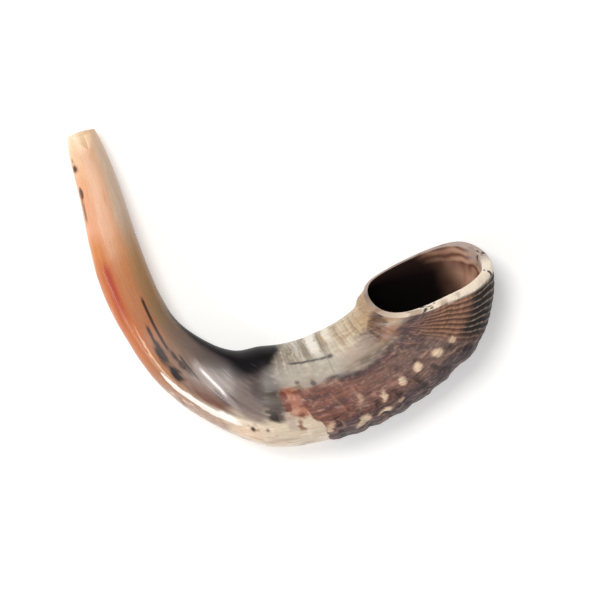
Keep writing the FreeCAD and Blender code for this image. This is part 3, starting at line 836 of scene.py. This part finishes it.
def grown_tint(along, angle):
    """Colours of the outer layer: maroon and grey-brown skin, darker between ribs and on the outer side,
    pale knobs, black and tan wrinkles, and the worn horn's colours on the inner side."""
    spot = unbent(along, angle)
    a = folded(angle) + 3.0 * noise(spot, (14, 5, 5), 72)
    s = along + 1.5 * noise(spot, (7, 4, 4), 73)
    patch = noise(spot, (10, 4, 4), 74) + 0.6 * noise(spot, (5, 2, 2), 75)
    threads = noise(spot, (7, 1.1, 1.1), 76) + 0.6 * noise(spot, (3, 0.7, 0.7), 77)
    mottle = noise(spot, (1.8, 1.1, 1.1), 78) + 0.7 * noise(spot, (0.9, 0.7, 0.7), 79)

    skin = colour_run(RAW_RUN, s)
    skin = lay(skin, "#a8705c", 0.6 * ramp(patch, 0.2, 1.0) * ramp(a, 58, 66))
    skin = lay(skin, "#59403f", 0.7 * ramp(patch, -0.2, -1.0))
    skin = lay(skin, "#53454a", 0.8 * ramp(a, 54, 42))
    skin = lay(skin, "#3f2c2d", 0.6 * ramp(threads, 0.25, 0.9))
    skin = lay(skin, "#b39183", 0.5 * ramp(threads, -0.35, -1.0))
    skin = lay(skin, "#241a1b", 0.6 * ramp(rib_wave(along, angle), 0.4, 0.08) * ramp(a, 72, 50))
    skin = lay(skin, "#46333a", 0.75 * ramp(s, 244, 258) * ramp(a, 84, 92) * ramp(threads, -1.2, 0.2))
    skin = lay(skin, "#b08a80", 0.5 * ramp(mottle, 0.3, 1.2))
    skin = lay(skin, "#3c2a2c", 0.5 * ramp(mottle, -0.3, -1.2))
    skin = lay(skin, "#cf9f8a", 0.3 * crease_wave(along, angle))

    zone = wrinkle_zone(along, angle)
    line = wrinkles(along, angle) + 0.3 * threads
    black = ramp(a, 62, 50)
    skin = lay(skin, "#8d624c", 0.85 * zone)
    skin = lay(skin, "#b08568", 0.6 * zone * ramp(line, 0.3, 1.0))
    skin = lay(skin, "#4a2d22", 0.8 * zone * ramp(line, -0.1, -0.9))
    skin = lay(skin, "#231917", zone * black)
    skin = lay(skin, "#9c8674", 0.8 * zone * black * ramp(line, 0.55, 1.0))
    pale = knobs(along, angle)[1]
    skin = lay(skin, "#b5826a", 0.8 * ramp(pale, 0, 0.5))
    skin = lay(skin, "#e6cdb0", pale * ramp(mottle, -1.6, -0.2))

    raw = rawness(along, angle)
    paint = horn_tint(along, angle)
    paint += (skin - paint) * raw[..., None]
    smoke = ramp(np.abs(a - law(SMOKE_LINE, along)) / 6, 1.2, 0.3) * ramp(s, 244, 254)
    return lay(paint, "#4e403c", 0.6 * smoke * ramp(threads, -0.6, 0.3))


# Raw keratin: dry, weathered and flaking, so it hardly shines. Where the worn side is bare, it is waxed.
raw_horn = horn_material("raw_keratin", gloss=0.34, scurf=0.6, coat=0.08)


def layer_piece(name, along, inner_along, skin, under):
    """A stretch of the outer layer: its skin outside, and inside it the surface of the wall below."""
    rows = np.concatenate([skin, under])
    tint = np.concatenate([grown_tint(along, angles), grown_tint(inner_along, angles)])
    raw = np.concatenate([rawness(along, angles), 0 * inner_along])
    spots = unbent(np.concatenate([along, inner_along]), angles)
    return sleeve(name, rows, tint, raw, 0 * raw, spots, [len(along) - 1, len(rows) - 1])


along = stations(stop, GROWTH_START, RIND_RINGS)
step = ramp(folded(angles), *STEP_FADE)
settled = ramp(along, stop - 1, stop + 4) * step + 1 - step
drop = STEP_DROP * step * edge_shrink(along - stop, STEP_ROUND)
skin = outside(along, angles, grown_relief(along, angles) * settled - drop)
inner_along = stations(GROWTH_START, stop, UNDER_RINGS)
under = outside(inner_along, angles, wall_offset(inner_along, angles) - LAYER_GAP)
rough_rind = layer_piece("ribbed_rind", along, inner_along, skin, under)
fit(rough_rind, "rough_rind", raw_horn)

# ---- Last growth band -------------------------------------------------------------------------------------
# The youngest stretch of the outer layer. It grew in thin crowded wrinkles, black in the grooves, which fan
# out on the long side of the bell.

BAND_RINGS, BAND_UNDER_RINGS = 110, 12

along = stations(GROWTH_START, RIM_START, BAND_RINGS)
skin = outside(along, angles, grown_relief(along, angles))
inner_along = stations(RIM_START, GROWTH_START, BAND_UNDER_RINGS)
under = outside(inner_along, angles, wall_offset(inner_along, angles))
last_growth_band = layer_piece("youngest_band", along, inner_along, skin, under)
fit(last_growth_band, "last_growth_band", raw_horn)

# ---- Bell rim ---------------------------------------------------------------------------------------------
# The edge of the bell, sawn across and smoothed with a file, so its face shows pale horn with black flecks.
# It is thickest on the outer side of the curve.

RIM_ROUND = 1.6
INNER_ROUND = 0.7
ROUND_RINGS, RIM_RINGS, FACE_RINGS, LINING_RINGS = 16, 26, 14, 12
FACE_RAWNESS = 0.25
# The filed face round the ring, and the (angle, spread) of its two patches of black flecks.
FACE_RUN = ((0, "#f2e6d6"), (40, "#f0dfca"), (100, "#f6e6d3"), (150, "#b59d8a"), (180, "#8c7666"))
OUTER_BURN, TOP_BURN = (19, 9), (94, 13)

turn = np.linspace(0, np.pi / 2, ROUND_RINGS)[1:, None]
rounded = LENGTH - RIM_ROUND * (1 - np.sin(turn))
along = np.concatenate([stations(RIM_START, LENGTH - RIM_ROUND, RIM_RINGS), rounded + 0 * angles])
settled = ramp(LENGTH - along, 0, 2)
skin = outside(along, angles, grown_relief(along, angles) * settled - edge_shrink(LENGTH - along, RIM_ROUND))
inner_along = stations(LENGTH - INNER_ROUND, RIM_START, LINING_RINGS)
lining = hollow_points(inner_along, angles)
across = np.linspace(0, 1, FACE_RINGS)[1:-1, None, None]
brink = hollow_points(LENGTH + 0 * angles, angles)
face = skin[-1] + (brink - skin[-1]) * across
rows = np.concatenate([skin, face, lining])
outer_spots = np.stack(unbent(along, angles), -1)
inner_spots = np.stack(unbent(inner_along, angles), -1) * (1, 0.8, 0.8)
face_spots = outer_spots[-1] + (inner_spots[0] - outer_spots[-1]) * across
spots = np.moveaxis(np.concatenate([outer_spots, face_spots, inner_spots]), -1, 0)

a = folded(angles)
under_side = ramp(np.sin(np.radians(angles)), 0.1, -0.35)
bevel = ramp(inner_along, LENGTH - 5.5, LENGTH - 2.5) * ramp(a, 52, 20)
near_edge = np.concatenate([ramp(along, LENGTH - 3.0, LENGTH - 1.2), 1 + 0 * face[..., 0], bevel])
flecks = noise(spots, (4.0, 3.4, 2.2), 81) + 0.5 * noise(spots, (1.5, 1.2, 1.2), 82)
blank = lay(colour_run(FACE_RUN, a), "#b3a098", under_side)
marked = lay(blank + 0 * spots[0][..., None], "#8f6b52", 0.6 * ramp(noise(spots, (3, 5, 5), 83), 0.1, 0.7))
outer_burn, top_burn = (
    np.exp(-(((turn - middle) / spread) ** 2))
    for turn, (middle, spread) in ((a, OUTER_BURN), (angles, TOP_BURN))
)
burnt = 0.75 * np.maximum(outer_burn, 0.85 * top_burn)
marked = lay(marked, "#171010", 0.95 * ramp(flecks, 1.0 - burnt, 1.15 - burnt))
tint = np.concatenate([grown_tint(along, angles), 0 * face, lining_tint(inner_along, angles)])
tint = tint + (marked - tint) * near_edge[..., None]
raw = np.concatenate([rawness(along, angles) * settled, FACE_RAWNESS + 0 * face[..., 0], 0 * inner_along])
dull = np.concatenate([0 * along, 0 * face[..., 0], 1 + 0 * inner_along])
# Filed keratin: the sawn face, smoothed but not waxed, so it keeps a dull sheen.
cut_horn = horn_material("filed_keratin", gloss=0.38, scurf=0.45, coat=0.05)
bell_rim = sleeve("sawn_rim", rows, tint, raw, dull, spots, [len(rows) - 1])
fit(bell_rim, "bell_rim", cut_horn)

# ---- Table, lights and camera -----------------------------------------------------------------------------
# A white table top under the horn, with a large soft lamp on the upper left, a long low lamp that draws a
# line of light along the keel, and a camera straight above.

FLOOR_SIZE = 6.0
FLOOR_WHITE = FLOOR_ROUGHNESS = 0.9
FLOOR_GLOW, ROOM_LIGHT = 0.3, 0.3
LENS, SENSOR = 300.0, 36.0
CAMERA_PLACE = (0.01227, -0.0076, 3.015)


def look_at(thing, target):
    """Turns a lamp or camera so that its own -Z points at the target."""
    away = Vector(target) - thing.location
    thing.rotation_euler = away.to_track_quat("-Z", "Y").to_euler()


def lamp(name, place, target, size, power, colour):
    """A rectangular softbox, size (across, high) in metres and power in watts."""
    light = bpy.data.lights.new(name, "AREA")
    light.shape = "RECTANGLE"
    light.size, light.size_y = size
    light.energy = power
    light.color = hex_colour(colour)
    thing = bpy.data.objects.new(name, light)
    bpy.context.scene.collection.objects.link(thing)
    thing.location = place
    look_at(thing, target)


floor_mesh = bpy.data.meshes.new("table_top")
half = FLOOR_SIZE / 2
floor_mesh.from_pydata(
    [(-half, -half, 0), (half, -half, 0), (half, half, 0), (-half, half, 0)], [], [(0, 1, 2, 3)]
)
table_top = bpy.data.objects.new("table_top", floor_mesh)
bpy.context.scene.collection.objects.link(table_top)
table_paint = bpy.data.materials.new("white_laminate")
table_paint.use_nodes = True
table_shader = table_paint.node_tree.nodes["Principled BSDF"]
table_shader.inputs["Base Color"].default_value = (FLOOR_WHITE, FLOOR_WHITE, FLOOR_WHITE, 1)
table_shader.inputs["Roughness"].default_value = FLOOR_ROUGHNESS
table_shader.inputs["Emission Color"].default_value = (1, 1, 1, 1)
table_shader.inputs["Emission Strength"].default_value = FLOOR_GLOW
floor_mesh.materials.append(table_paint)

middle = (0.0, 0.0, 0.02)
lamp("key_softbox", (-1.1, 1.2, 3.2), middle, size=(1.8, 1.8), power=82, colour="#fffdf8")
lamp("keel_strip", (-1.0, -0.9, 0.95), middle, size=(1.6, 0.22), power=11, colour="#ffffff")

world = bpy.data.worlds.new("studio")
world.use_nodes = True
world.node_tree.nodes["Background"].inputs["Color"].default_value = (1, 1, 1, 1)
world.node_tree.nodes["Background"].inputs["Strength"].default_value = ROOM_LIGHT
bpy.context.scene.world = world
bpy.context.scene.view_settings.view_transform = "Standard"

camera_data = bpy.data.cameras.new("overhead")
camera_data.lens, camera_data.sensor_width = LENS, SENSOR
camera = bpy.data.objects.new("overhead", camera_data)
bpy.context.scene.collection.objects.link(camera)
camera.location = CAMERA_PLACE
bpy.context.scene.camera = camera
